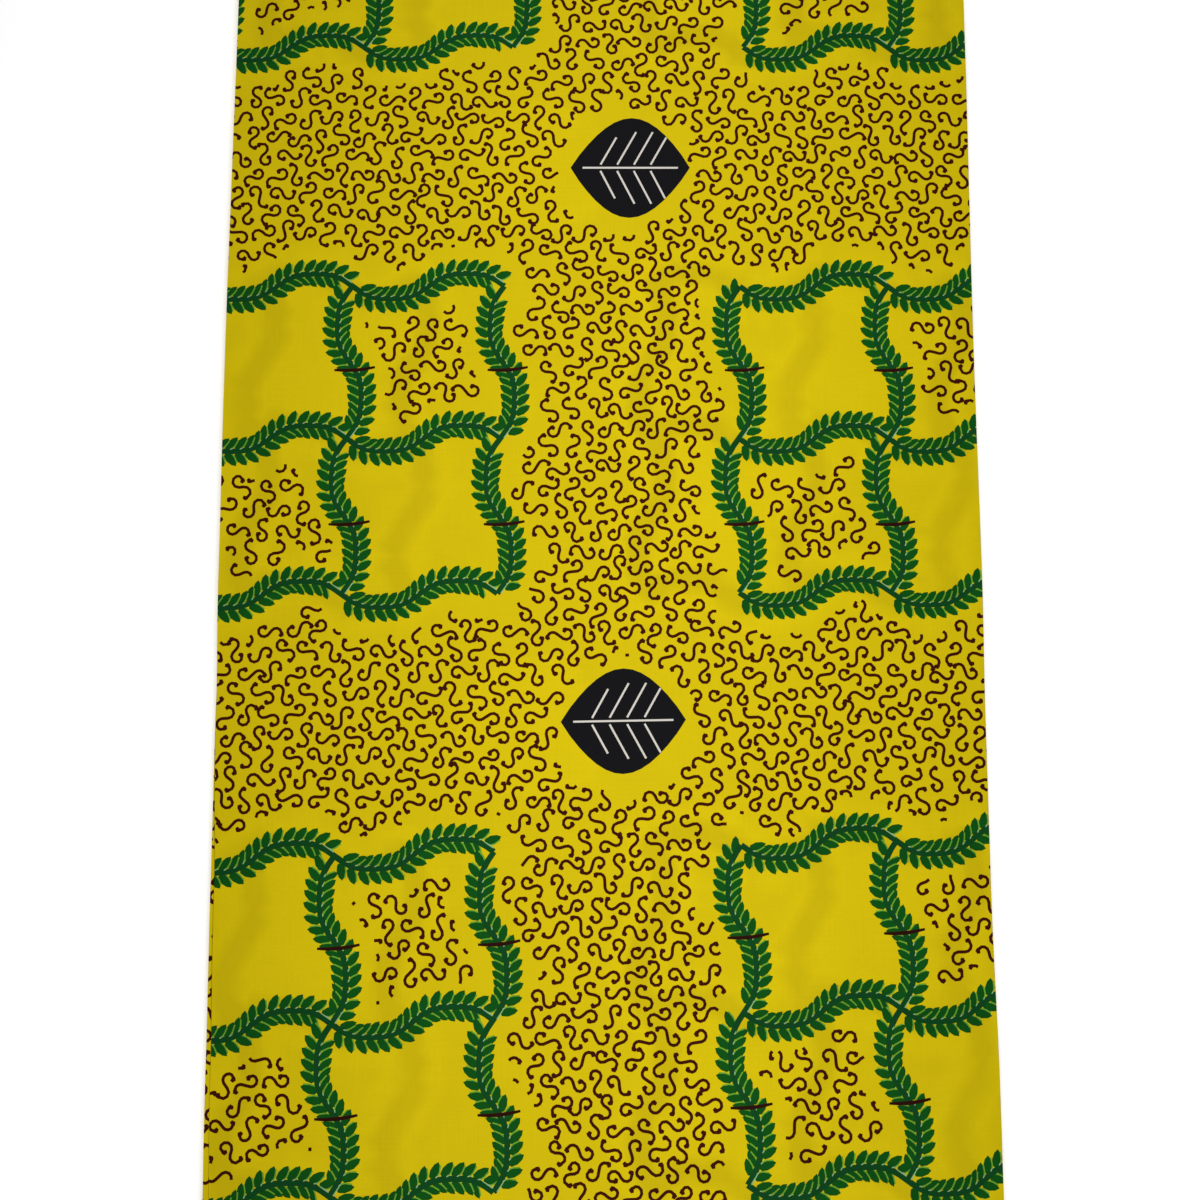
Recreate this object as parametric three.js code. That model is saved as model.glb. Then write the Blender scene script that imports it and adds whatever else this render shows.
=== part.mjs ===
import * as THREE from "three";

// A length of printed cotton cloth. It is folded in half along its length, with the fold on the
// right, and then to and fro into a flat pile. X runs across the pile, Y along it and Z up, in
// millimetres. "Near" is the -Y end and "far" the +Y end.
//
// Plies from the top down: the upper half and the lower half of the top length, then two plies
// for each length beneath it. The top length turns under at the far end.

// The pile
const FOLDED_WIDTH = 580;
const FOLDED_LENGTH = 1100;
const HIDDEN_LENGTHS = 4;
const PLIES_PER_LENGTH = 2;
const HIDDEN_PLIES = HIDDEN_LENGTHS * PLIES_PER_LENGTH;
const PLIES = HIDDEN_PLIES + PLIES_PER_LENGTH;

// The cloth, as a wall with its clearance to the next ply
const WALL = 1.2;
const CLEARANCE = 0.3;
const PLY_STEP = WALL + CLEARANCE;
const PILE_HEIGHT = PLIES * PLY_STEP - CLEARANCE;
const HALF_WALL = WALL / 2;

// How far a ply runs back past a fold before its next stretch begins
const RETURN = 12;

// Side edges of the top length across the pile, at places along it
const EDGES = [
  { along: -550, upperLeft: -282.0, lowerLeft: -288.0, fold: 290.0 },
  { along: -450, upperLeft: -283.5, lowerLeft: -288.5, fold: 290.0 },
  { along: -360, upperLeft: -285.3, lowerLeft: -289.4, fold: 290.0 },
  { along: -220, upperLeft: -287.0, lowerLeft: -290.2, fold: 288.2 },
  { along: -90, upperLeft: -290.0, lowerLeft: -290.6, fold: 288.2 },
  { along: 20, upperLeft: -291.6, lowerLeft: -289.8, fold: 289.2 },
  { along: 190, upperLeft: -292.3, lowerLeft: -289.4, fold: 288.5 },
  { along: 475, upperLeft: -290.8, lowerLeft: -288.6, fold: 289.8 },
  { along: 550, upperLeft: -290.5, lowerLeft: -288.5, fold: 290.0 },
];

// How far the upper half stops short of the lower half at the near end
const UPPER_SHORT = 1.5;

// How far the hidden cloth stands in from the top length's edges: its two raw side edges, from the
// bottom ply up, and its side folds, one for each length
const LEFT_INSETS = [4.6, 3.2, 5.2, 3.8, 5.8, 3.4, 4.8, 3.6];
const FOLD_INSETS = [2.6, 1.4, 3.0, 1.8];

// The same at its ends, from the bottom up: turns take four plies, and the last two plies end raw
const NEAR_INSETS = [{ plies: 4, inset: 2.6 }, { plies: 4, inset: 1.2 }];
const FAR_INSETS = [{ plies: 1, inset: 4.4 }, { plies: 1, inset: 3.0 }, { plies: 4, inset: 1.4 }];

// The groove between neighbouring layers, deepest just over the lower one, and the cut corners
const GROOVE_DEPTH = 3;
const GROOVE_FLOOR = 0.03;
const CORNER = 4;

// The pile is lower along its sides and ends than in the middle
const SIDE_DROOP = 1.2;
const SIDE_REACH = 145;
const END_DROOP = 0.8;
const END_REACH = 150;

// Soft swells and hollows of the whole pile
const SWELLS = [
  { across: -140, along: 330, reachX: 160, reachY: 170, rise: 0.7 },
  { across: 120, along: 200, reachX: 180, reachY: 190, rise: -0.6 },
  { across: 150, along: -45, reachX: 190, reachY: 150, rise: 0.8 },
  { across: -150, along: -60, reachX: 160, reachY: 190, rise: -0.5 },
  { across: -60, along: -310, reachX: 200, reachY: 170, rise: 0.6 },
  { across: 160, along: -370, reachX: 160, reachY: 170, rise: -0.5 },
];

// Steps of the meshes
const COLUMNS = 16;
const ROWS = 28;
const FOLD_STEPS = 4;
const TURN_STEPS = 6;
const LONG_SIDE_STEPS = 22;
const SHORT_SIDE_STEPS = 10;
const COVER_SCALES = [0.95, 0.88, 0.79, 0.69, 0.58, 0.47, 0.35, 0.23, 0.11];

// Heights closer than this are the same
const TOUCH = 1e-6;

// Heights and ends that follow from the sizes above
const plyBottom = (ply) => ply * PLY_STEP;
const UPPER_LEVEL = 1.5 * PLY_STEP;
const LOWER_LEVEL = 0.5 * PLY_STEP;
const TURN_HEIGHT = plyBottom(HIDDEN_PLIES) - CLEARANCE / 2;
const FAR_END = FOLDED_LENGTH / 2;
const NEAR_END = -FOLDED_LENGTH / 2;
const TURN_START = FAR_END - UPPER_LEVEL - HALF_WALL;
const SECOND_LENGTH_END = TURN_START - RETURN - CLEARANCE;

/** A smooth step from 0 to 1. */
function ease(t) {
  const held = THREE.MathUtils.clamp(t, 0, 1);
  return held * held * (3 - 2 * held);
}

/** Where the named edge of the top length lies across the pile, at a place along it. */
function edgeAt(name, along) {
  const next = EDGES.findIndex((row) => row.along >= along);
  if (next === -1) {
    return EDGES[EDGES.length - 1][name];
  }
  if (next === 0) {
    return EDGES[0][name];
  }
  const [low, high] = [EDGES[next - 1], EDGES[next]];
  const t = (along - low.along) / (high.along - low.along);
  return THREE.MathUtils.lerp(low[name], high[name], ease(t));
}

/** Lets the pile settle: its height gives way to the droops and swells, and its base stays flat. */
function settle(point) {
  const side = FOLDED_WIDTH / 2 - Math.abs(point.x);
  const end = FAR_END - Math.abs(point.y);
  let rise = -SIDE_DROOP * (1 - ease(side / SIDE_REACH)) - END_DROOP * (1 - ease(end / END_REACH));
  for (const swell of SWELLS) {
    const distance = Math.hypot(
      (point.x - swell.across) / swell.reachX,
      (point.y - swell.along) / swell.reachY,
    );
    rise += swell.rise * (1 - ease(distance));
  }
  point.z *= 1 + rise / PILE_HEIGHT;
  return point;
}

/** Evenly spaced numbers from start to end, both included. */
function steps(start, end, count) {
  return Array.from({ length: count + 1 }, (_, i) => THREE.MathUtils.lerp(start, end, i / count));
}

/** Numbers from start to end that lie closer together near both. */
function stepsCloserAtEnds(start, end, count) {
  return steps(0, 1, count).map((t) => THREE.MathUtils.lerp(start, end, (t + ease(t)) / 2));
}

/** A closed body from its vertices and its faces, which are lists of vertex numbers. */
function bodyGeometry(vertices, faces) {
  const geometry = new THREE.BufferGeometry();
  geometry.setAttribute(
    "position",
    new THREE.Float32BufferAttribute(vertices.flatMap((v) => v.toArray()), 3),
  );
  geometry.setIndex(faces.flat());
  geometry.computeVertexNormals();
  return geometry;
}

/** A ply: two facing grids of points, the outer and the inner, closed all round their rims. */
function plyGeometry(outer, inner) {
  const rows = outer.length;
  const columns = outer[0].length;
  const vertices = [...outer.flat(), ...inner.flat()];
  const faces = [];
  const at = (side, i, j) => side * rows * columns + i * columns + j;
  const quad = (a, b, c, d) => faces.push([a, b, c], [a, c, d]);
  for (let i = 0; i < rows - 1; i += 1) {
    for (let j = 0; j < columns - 1; j += 1) {
      quad(at(0, i, j), at(0, i, j + 1), at(0, i + 1, j + 1), at(0, i + 1, j));
      quad(at(1, i, j), at(1, i + 1, j), at(1, i + 1, j + 1), at(1, i, j + 1));
    }
  }
  const last = { row: rows - 1, column: columns - 1 };
  for (let i = 0; i < rows - 1; i += 1) {
    quad(at(0, i, 0), at(0, i + 1, 0), at(1, i + 1, 0), at(1, i, 0));
    quad(at(0, i + 1, last.column), at(0, i, last.column), at(1, i, last.column),
      at(1, i + 1, last.column));
  }
  for (let j = 0; j < columns - 1; j += 1) {
    quad(at(0, 0, j + 1), at(0, 0, j), at(1, 0, j), at(1, 0, j + 1));
    quad(at(0, last.row, j), at(0, last.row, j + 1), at(1, last.row, j + 1), at(1, last.row, j));
  }
  return bodyGeometry(vertices, faces);
}

/**
 * The stations of the top length, from the near end over the far turn. Each has the place that
 * its edges are read at, and puts a level, a height above the turn's centre line, in Y and Z.
 */
function stations(nearEnd) {
  const straight = stepsCloserAtEnds(nearEnd, TURN_START, ROWS).map((y) => ({
    along: y,
    place: (level) => [y, TURN_HEIGHT + level],
  }));
  const turn = steps(0, Math.PI, TURN_STEPS).slice(1).map((angle) => ({
    along: TURN_START,
    place: (level) => [
      TURN_START + level * Math.sin(angle),
      TURN_HEIGHT + level * Math.cos(angle),
    ],
  }));
  const back = {
    along: TURN_START,
    place: (level) => [TURN_START - RETURN, TURN_HEIGHT - level],
  };
  return [...straight, ...turn, back];
}

/** A ply's body from its stations and section, a function of the place along the pile. */
function sweptPly(rows, section) {
  const side = (name) => rows.map((row) => section(row.along).map((spot) => {
    const [y, z] = row.place(spot[name].level);
    return settle(new THREE.Vector3(spot[name].x, y, z));
  }));
  return plyGeometry(side("outer"), side("inner"));
}

/** Section points along a flat stretch. side is 1 where the outer face is up and -1 where down. */
function flatStretch(places, level, side) {
  return places.map((x) => ({
    outer: { x, level: level + side * HALF_WALL },
    inner: { x, level: level - side * HALF_WALL },
  }));
}

/** The upper half: flat, then round the fold on the right and a short way back under it. */
function upperSection(along) {
  const foldStart = edgeAt("fold", along) - PLY_STEP / 2 - HALF_WALL;
  const foldLevel = (UPPER_LEVEL + LOWER_LEVEL) / 2;
  const flat = stepsCloserAtEnds(edgeAt("upperLeft", along), foldStart, COLUMNS);
  const round = steps(0, Math.PI, FOLD_STEPS).slice(1).map((angle) => {
    const spot = (radius) => ({
      x: foldStart + radius * Math.sin(angle),
      level: foldLevel + radius * Math.cos(angle),
    });
    return { outer: spot(PLY_STEP / 2 + HALF_WALL), inner: spot(PLY_STEP / 2 - HALF_WALL) };
  });
  return [
    ...flatStretch(flat, UPPER_LEVEL, 1),
    ...round,
    ...flatStretch([foldStart - RETURN], LOWER_LEVEL, -1),
  ];
}

/** The lower half: flat, from its raw left edge to where the upper half's fold comes back. */
function lowerSection(along) {
  const foldStart = edgeAt("fold", along) - PLY_STEP / 2 - HALF_WALL;
  const rightEnd = foldStart - RETURN - CLEARANCE;
  const flat = stepsCloserAtEnds(edgeAt("lowerLeft", along), rightEnd, COLUMNS);
  return flatStretch(flat, LOWER_LEVEL, 1);
}

/** How far a rounded edge that is height tall stands in, at a height above its foot. */
function roundInset(above, height) {
  const fromMiddle = (2 * above) / height - 1;
  const chord = Math.sqrt(Math.max(0, 1 - fromMiddle * fromMiddle));
  return (height / 2) * (1 - chord);
}

/** Rows of { plies, inset } as rows of { foot, top, inset }, stacked from the base up. */
function stackedLayers(layers) {
  let ply = 0;
  return layers.map((layer) => {
    const foot = plyBottom(ply);
    ply += layer.plies;
    return { foot, top: plyBottom(ply) - CLEARANCE, inset: layer.inset };
  });
}

/** How far one side of the hidden cloth stands in at height z: rounded layers with grooves. */
function layeredInset(layers, z) {
  const layer = layers.find((row) => z >= row.foot - TOUCH && z <= row.top + TOUCH);
  if (layer) {
    return layer.inset + roundInset(z - layer.foot, layer.top - layer.foot);
  }
  const below = layers.filter((row) => row.top < z).pop();
  return below.inset + GROOVE_DEPTH;
}

const LEFT_LAYERS = stackedLayers(LEFT_INSETS.map((inset) => ({ plies: 1, inset })));
const FOLD_LAYERS = stackedLayers(
  FOLD_INSETS.map((inset) => ({ plies: PLIES_PER_LENGTH, inset })),
);
const NEAR_LAYERS = stackedLayers(NEAR_INSETS);
const FAR_LAYERS = stackedLayers([
  ...FAR_INSETS,
  { plies: PLIES_PER_LENGTH, inset: FAR_END - SECOND_LENGTH_END },
]);

/** The far side is flat where the second length meets the top length's turn. */
function farInset(z) {
  const meeting = FAR_LAYERS[FAR_LAYERS.length - 1];
  return z > meeting.foot - CLEARANCE + TOUCH ? meeting.inset : layeredInset(FAR_LAYERS, z);
}

/**
 * The plan outline of the hidden cloth, as places from -1 to 1 across and along. Each side stops
 * short of its corners, which cuts them.
 */
function planOutline() {
  const long = steps(-1, 1, LONG_SIDE_STEPS);
  const short = steps(-1, 1, SHORT_SIDE_STEPS);
  const cutAt = (place) => (Math.abs(place) === 1 ? CORNER * place : 0);
  const alongSide = (u, v) => ({ u, v, cutX: 0, cutY: cutAt(v) });
  const acrossEnd = (u, v) => ({ u, v, cutX: cutAt(u), cutY: 0 });
  return [
    ...long.map((v) => alongSide(1, v)),
    ...short.map((u) => acrossEnd(-u, 1)),
    ...long.map((v) => alongSide(-1, -v)),
    ...short.map((u) => acrossEnd(u, -1)),
  ];
}

/** Where a place of the plan outline, drawn in to scale, lies at height z. */
function planPoint(place, z, scale = 1) {
  const between = (t, low, high) => THREE.MathUtils.lerp(low, high, (t * scale + 1) / 2);
  const near = NEAR_END + layeredInset(NEAR_LAYERS, z);
  const far = FAR_END - farInset(z);
  const y = between(place.v, near, far) - place.cutY * scale;
  const left = edgeAt("lowerLeft", y) + layeredInset(LEFT_LAYERS, z);
  const right = edgeAt("fold", y) - layeredInset(FOLD_LAYERS, z);
  const x = between(place.u, left, right) - place.cutX * scale;
  return settle(new THREE.Vector3(x, y, z));
}

/** The hidden lengths: rings of the plan outline from the base to the top, with two covers. */
function hiddenGeometry() {
  const outline = planOutline();
  const heights = [];
  for (let ply = 0; ply < HIDDEN_PLIES; ply += 1) {
    const foot = plyBottom(ply);
    heights.push(foot, foot + HALF_WALL, foot + WALL);
    if (ply < HIDDEN_PLIES - 1) {
      heights.push(foot + WALL + GROOVE_FLOOR);
    }
  }
  const top = heights[heights.length - 1];
  const rings = [
    ...heights.map((z) => outline.map((place) => planPoint(place, z))),
    ...COVER_SCALES.map((scale) => outline.map((place) => planPoint(place, top, scale))),
  ];
  const vertices = rings.flat();
  const count = outline.length;
  const faces = [];
  for (let ring = 0; ring < rings.length - 1; ring += 1) {
    for (let i = 0; i < count; i += 1) {
      const next = (i + 1) % count;
      const [a, b] = [ring * count + i, ring * count + next];
      faces.push([a, b, b + count], [a, b + count, a + count]);
    }
  }
  const middlePlace = { u: 0, v: 0, cutX: 0, cutY: 0 };
  const base = vertices.push(planPoint(middlePlace, 0)) - 1;
  const crown = vertices.push(planPoint(middlePlace, top)) - 1;
  const lastRing = (rings.length - 1) * count;
  for (let i = 0; i < count; i += 1) {
    const next = (i + 1) % count;
    faces.push([next, i, base], [lastRing + i, lastRing + next, crown]);
  }
  return bodyGeometry(vertices, faces);
}

/** A named piece of the cloth. */
function clothMesh(name, geometry) {
  const material = new THREE.MeshStandardMaterial({
    color: new THREE.Color(0xd7bd0a),
    roughness: 0.8,
    metalness: 0,
  });
  const mesh = new THREE.Mesh(geometry, material);
  mesh.name = name;
  return mesh;
}

const cloth = new THREE.Group();
cloth.add(
  clothMesh("top_length_upper_half", sweptPly(stations(NEAR_END + UPPER_SHORT), upperSection)),
  clothMesh("top_length_lower_half", sweptPly(stations(NEAR_END), lowerSection)),
  clothMesh("hidden_lengths", hiddenGeometry()),
);

// The origin is on the surface that the pile lies on, under the middle of its outline.
const middle = new THREE.Box3().setFromObject(cloth).getCenter(new THREE.Vector3());
cloth.position.set(-middle.x, -middle.y, 0);

export default cloth;
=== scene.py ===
"""A folded pile of wax print cotton on a pale floor, seen from nearly straight above.

The pile lies along Y with its lengthwise folds on the right (+X). Everything is in metres.
"""
import math
from functools import partial
from itertools import groupby

import bpy
import numpy as np
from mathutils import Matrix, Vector
from mathutils.geometry import delaunay_2d_cdt
from mathutils.kdtree import KDTree


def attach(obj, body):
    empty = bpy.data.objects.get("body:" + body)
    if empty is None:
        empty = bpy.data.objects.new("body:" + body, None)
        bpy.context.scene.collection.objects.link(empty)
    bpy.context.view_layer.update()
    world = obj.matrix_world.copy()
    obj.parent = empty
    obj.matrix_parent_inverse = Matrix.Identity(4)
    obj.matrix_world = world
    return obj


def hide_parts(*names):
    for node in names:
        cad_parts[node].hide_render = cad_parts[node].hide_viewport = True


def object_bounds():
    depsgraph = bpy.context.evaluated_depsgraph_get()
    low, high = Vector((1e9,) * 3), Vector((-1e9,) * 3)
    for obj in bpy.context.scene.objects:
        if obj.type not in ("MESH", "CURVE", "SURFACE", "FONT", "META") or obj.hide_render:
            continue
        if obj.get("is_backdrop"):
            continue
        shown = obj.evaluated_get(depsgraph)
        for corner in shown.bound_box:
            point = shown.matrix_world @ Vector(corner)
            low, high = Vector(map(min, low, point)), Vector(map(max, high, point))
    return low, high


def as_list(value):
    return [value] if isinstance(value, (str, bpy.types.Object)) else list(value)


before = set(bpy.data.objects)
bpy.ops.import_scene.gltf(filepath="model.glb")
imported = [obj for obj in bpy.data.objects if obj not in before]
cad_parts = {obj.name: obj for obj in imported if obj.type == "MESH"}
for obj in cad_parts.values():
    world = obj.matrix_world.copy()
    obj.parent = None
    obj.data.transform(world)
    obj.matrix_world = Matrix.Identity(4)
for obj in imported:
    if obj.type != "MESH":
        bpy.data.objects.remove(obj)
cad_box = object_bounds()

MM = 0.001
TWO_PI = 2 * math.pi


def table(columns, *rows):
    """The rows of a table, each with the columns' names."""
    return [dict(zip(columns.split(), row)) for row in rows]


# ---- The pile, with the sizes of the part's source

FAR_END = 0.550
NEAR_END = -0.550
HALF_WIDTH = 0.290
PILE_HEIGHT = 14.7 * MM
LENGTHS = 5
PLIES = 2 * LENGTHS
TOP_PLY_MIDDLE = 14.1 * MM
UPPER_SHORT = 1.5 * MM
RETURN = 12 * MM
CLEARANCE = 0.3 * MM

# The cloth is thinner than its walls in the part, and the bottom ply lies on the floor
CLOTH = 0.5 * MM
PLY_STEP = (TOP_PLY_MIDDLE - CLOTH / 2) / (PLIES - 1)
HALF_STEP = PLY_STEP / 2
# The flat lengths that a turn at an end and a side fold take up
TURN_ARC = math.pi * PLY_STEP
FOLD_ARC = math.pi * HALF_STEP

# Side edges of the top length across the pile, at places along it
EDGES = table(
    "along upper_left lower_left fold",
    (-0.550, -0.2820, -0.2880, 0.2900),
    (-0.450, -0.2835, -0.2885, 0.2900),
    (-0.360, -0.2853, -0.2894, 0.2900),
    (-0.220, -0.2870, -0.2902, 0.2882),
    (-0.090, -0.2900, -0.2906, 0.2882),
    (0.020, -0.2916, -0.2898, 0.2892),
    (0.190, -0.2923, -0.2894, 0.2885),
    (0.475, -0.2908, -0.2886, 0.2898),
    (0.550, -0.2905, -0.2885, 0.2900),
)

# The five lengths from the top down: how far the raw edges of the two plies and the side fold
# stand in from the top length's, and where the length ends along the pile. "first" is the ply
# whose printed face is outermost on the top length, and "second" the other.
LAYERS = table(
    "first second fold ends",
    (0.0, 0.0, 0.0, 0.54715),
    (4.8 * MM, 3.6 * MM, 1.8 * MM, -0.54595),
    (3.4 * MM, 5.8 * MM, 3.0 * MM, 0.54575),
    (5.2 * MM, 3.8 * MM, 1.4 * MM, -0.54455),
    (3.2 * MM, 4.6 * MM, 2.6 * MM, 0.54630),
)

# The pile is lower along its sides and ends, and has soft swells and hollows
SIDE_DROOP = 1.2 * MM
SIDE_REACH = 0.145
END_DROOP = 0.8 * MM
END_REACH = 0.150
SWELLS = table(
    "across along reach_x reach_y rise",
    (-0.140, 0.330, 0.160, 0.170, 0.7 * MM),
    (0.120, 0.200, 0.180, 0.190, -0.6 * MM),
    (0.150, -0.045, 0.190, 0.150, 0.8 * MM),
    (-0.150, -0.060, 0.160, 0.190, -0.5 * MM),
    (-0.060, -0.310, 0.200, 0.170, 0.6 * MM),
    (0.160, -0.370, 0.160, 0.170, -0.5 * MM),
)

# Creases: soft ridges and troughs, each about its middle, at an angle from +X in degrees. Each
# bends a little, is full over its middle and fades over the rest, as shares of its length
CREASES = table(
    "across along angle length width rise",
    (0.165, -0.014, -13, 0.250, 9 * MM, -0.28 * MM),
    (0.170, -0.029, -13, 0.250, 12 * MM, 0.34 * MM),
    (-0.160, 0.205, 6, 0.150, 13 * MM, 0.16 * MM),
    (-0.215, -0.170, 78, 0.210, 14 * MM, -0.18 * MM),
    (0.060, 0.420, 17, 0.130, 11 * MM, -0.15 * MM),
    (-0.050, -0.470, -24, 0.170, 14 * MM, 0.20 * MM),
    (0.225, -0.330, 68, 0.190, 13 * MM, 0.17 * MM),
    (0.190, 0.300, -38, 0.120, 12 * MM, 0.14 * MM),
)
CREASE_BEND = 0.25
CREASE_FULL = 0.15
CREASE_FADE = 0.35

# The raw left-hand edges flutter a little, as sums of waves. Under the top length they flutter
# less, and start to over a short stretch
FLUTTER_REACH = 0.030
HIDDEN_FLUTTER = 0.6
FLUTTER_START = 0.1
FLUTTERS = table("wave rise", (0.310, 0.16 * MM), (0.127, 0.10 * MM), (0.057, 0.05 * MM))
# How far the plies' waves and the three waves of a ply are out of step, in radians
FLUTTER_SHIFT = 1.9
WAVE_SHIFT = 2

# ---- The print, in the cloth's own flat sizes

# Blocks of two by two windows, their middles and their windows
BLOCK_MIDDLE = (-0.1961, 0.1251)
BLOCK_PITCH = np.array((0.4175, 0.4381))
WINDOW = np.array((0.1170, 0.1207))
# The ply beneath shows its print the other way round, and bares a strip of scrolls
UNDER_MIDDLE = (-0.2635, 0.1255)
STRIP_MIDDLE = (-0.1343, -0.0127)
# The cloth lies a little out of square: it is drawn to the left, its columns bow, and its lower
# rows rise to the right
DRAWN = -0.0433
BOW = {"middle": -0.165, "bend": 0.025, "shift": -0.7 * MM}
SKEW = {"start": 0.060, "reach": 0.250, "slope": 0.0265, "still": -0.256}

# Leaf garlands: a flattened wave, with leaves that are narrower and shorter inside its bends
WAVE = 11.1 * MM
WAVE_FLATTENING = 0.09
GARLAND_STEP = 7.4 * MM
LEAF_LENGTH = 13.4 * MM
LEAF_WIDTH = 6.7 * MM
LEAF_ANGLE = math.radians(61)
LEAF_BEND = 2.0 * MM
LEAF_MIDDLE = 5.5 * MM
LEAF_ROOM = (0.66, 1.0)
LEAF_SHRINK = 0.25
# Sections of a leaf and of its glint from foot to tip, and the powers that shape a leaf
LEAF_SECTIONS = np.array([0.16, 0.50, 0.83])
GLINT_SECTIONS = np.array([0.14, 0.50, 0.86])
LEAF_TAPER = 0.75
LEAF_FULLNESS = 0.5
# How far from the stem's middle a leaf starts
LEAF_FOOT = 0.8 * MM
GLINT_WIDTH = 0.9 * MM
GLINT_OVERLAP = 0.15 * MM
STEM_WIDTH = {"middle": 4.5 * MM, "ends": 4.4 * MM}
STEM_FLARE = 8
BARE_START = 6.5 * MM
BARE_END = {"left": 8.0 * MM, "right": 16 * MM}
# A pale tick's corners from a leaf's foot: along the garland, and out along the leaf
TICK = np.array([(2.1, 0.9), (2.9, 2.2), (4.8, 1.9), (3.1, 0.6)]) * MM
# The leaf at the end of an upright garland: how far back it starts, and its turn
END_LEAF = 8.0 * MM
END_LEAF_ANGLE = math.radians(30)
# Pale slivers at the junctions: off the stem's middle, along it, and half as wide as
SLIVER_OFF = 2.1 * MM
SLIVER_NEAR = 1.8 * MM
SLIVER_FAR = 10.5 * MM
SLIVER_HALVES = (0.3 * MM, 0.45 * MM, 0.55 * MM)
TIE_PLACE = 0.48
TIE_LENGTH = 31 * MM
TIE_WIDTH = 2.9 * MM
TIE_SAG = 5 * MM
TIE_TAPER = 1.5
TIE_LEAN = math.radians(4)
LINE_STEPS = 20
TIE_STEPS = 4
FINE_STEPS = 96
HALO_STEPS = 30

# Scrolls: arcs from the wide hook to the narrow one, and how far each kind of scroll turns on
# them, in degrees
SCROLL_ARCS = table(
    "name radius steps",
    ("curl", 3.0 * MM, 2),
    ("hook", 4.3 * MM, 4),
    ("waist", 30 * MM, 1),
    ("bend", 4.3 * MM, 3),
    ("tip", 3.2 * MM, 1),
)
SCROLL_KINDS = table(
    "curl hook waist bend tip",
    (78, 150, 9, -96, -44),
    (92, 160, 7, -112, -56),
    (72, 128, 9, -124, -50),
    (80, 142, 12, -74, -38),
)
SCROLL_WIDTH = 2.35 * MM
# The round ends: how far on each section lies, and its half widths outside and inside the hook
BULB = table(
    "on outer inner",
    (1.2 * MM, 1.40 * MM, 3.05 * MM),
    (3.3 * MM, 0.60 * MM, 2.20 * MM),
)
SCROLL_SPACING = 18.1 * MM
SCROLL_JITTER = 2.6 * MM
SCROLL_SIZES = (0.93, 1.07)
SCROLL_REACH = 7 * MM
SCROLL_CROWDING = 3.0 * MM
# How far off, in spacings, a neighbour still counts
SCROLL_NEAR = 2.1
SCROLL_TRIES = 30
SCROLL_ROUNDS = 3
SCROLL_SEED = 11
# Plain ground round the garlands and round the dark ovals
HALO = 22 * MM
HALO_WOBBLE = 2.0 * MM
HALO_WAVES = {"across": 210, "along": 190, "shift": 1}
# How far a scroll whose middle is on open ground may reach into that plain ground
HALO_SLACK = 6 * MM
# The fewest points that a cut scroll's stroke may have
SHORTEST_DASH = 2

# Dark pointed ovals with straight pale veins, midway between the blocks
OVAL = {"half_length": 47 * MM, "half_height": 41 * MM, "steps": 14}
OVAL_PLACE = np.array((4.0, -2.0)) * MM
OVAL_HALO = (56 * MM, 54 * MM)
OVAL_FULLNESS = 0.9
RIB_REACH = 0.80
VEIN_WIDTH = 1.5 * MM
VEIN_GAP = 2.6 * MM
VEINS = table("place reach", (-0.50, 0.62), (-0.22, 0.74), (0.06, 0.74), (0.34, 0.62))
VEIN_ANGLE = math.radians(62)

# The show-through of the garlands beneath, to either side of their middles, and of the scrolls
THROUGH_FULL = 6 * MM
THROUGH_FADE = 6 * MM
THROUGH_SCROLLS = 0.35

# On the plies that the pile hides, the print stops this far in from what can be seen
PRINTED_MARGIN = 7 * MM

# Steps of the meshes
GROUND_STEP = 10.5 * MM
HIDDEN_STEP = 26 * MM
EDGE_STEP = 8 * MM
FOLD_STEPS = 5
TURN_STEPS = 8
# The length that sets how many points an end edge has
END_LINE = 0.5
# Points this close are one, how many points are measured at a time, and how far to either side of
# a point its normal is taken
SAME_POINT = 1e-7
BATCH = 4000
NORMAL_STEP = 0.2 * MM
# How far the ground's points keep from the edges, how far past the edges motifs are sought, and
# how many ground steps the points of the upper half keep from the motifs
EDGE_GAP = 1.5 * MM
BOX_MARGIN = 4 * MM
GROUND_GAP = 0.55

# How much the threads, the clouds and the grain of the dye each change the cloth's tone, how much
# the print beneath darkens it, and how far the grain breaks that print up
UNEVEN = 0.10
THROUGH_DARK = 0.13
THROUGH_BROKEN = 0.8
# Threads: how many show to the metre, how many slubs, their step, their relief, and how much of
# the relief the plain weave adds
THREAD_RATE = 1500
SLUB_RATE = 22
THREAD_STEP = 0.45 * MM
THREAD_RELIEF = 0.12 * MM
WEAVE_SHARE = 0.03

# The floor, the lights and the camera
FLOOR_REACH = 3.0
WORLD_LIGHT = 0.31
SOFTBOX = {"size": (0.30, 1.50), "place": (0.030, 0.02, 0.55), "energy": 4.0}
AIM = (-0.35 * MM, 0.0, PILE_HEIGHT)
CAMERA = {"lens": 36.09, "sensor": 36.0, "tilt": math.radians(5.98), "distance": 0.911}

# Inks, from the bottom layer of the print to the top
INKS = ["ground", "scroll", "leaf", "glint", "stem", "pale", "dark", "vein", "tie"]
INK_COLOURS = {
    "ground": (222, 197, 5),
    "scroll": (62, 14, 0),
    "leaf": (10, 82, 18),
    "glint": (112, 168, 48),
    "stem": (10, 72, 28),
    "pale": (150, 190, 130),
    "dark": (18, 18, 22),
    "vein": (222, 217, 206),
    "tie": (44, 11, 4),
}


def ease(t):
    """A smooth step from 0 to 1."""
    held = np.clip(t, 0, 1)
    return held * held * (3 - 2 * held)


# ---- Where the cloth lies


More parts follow.
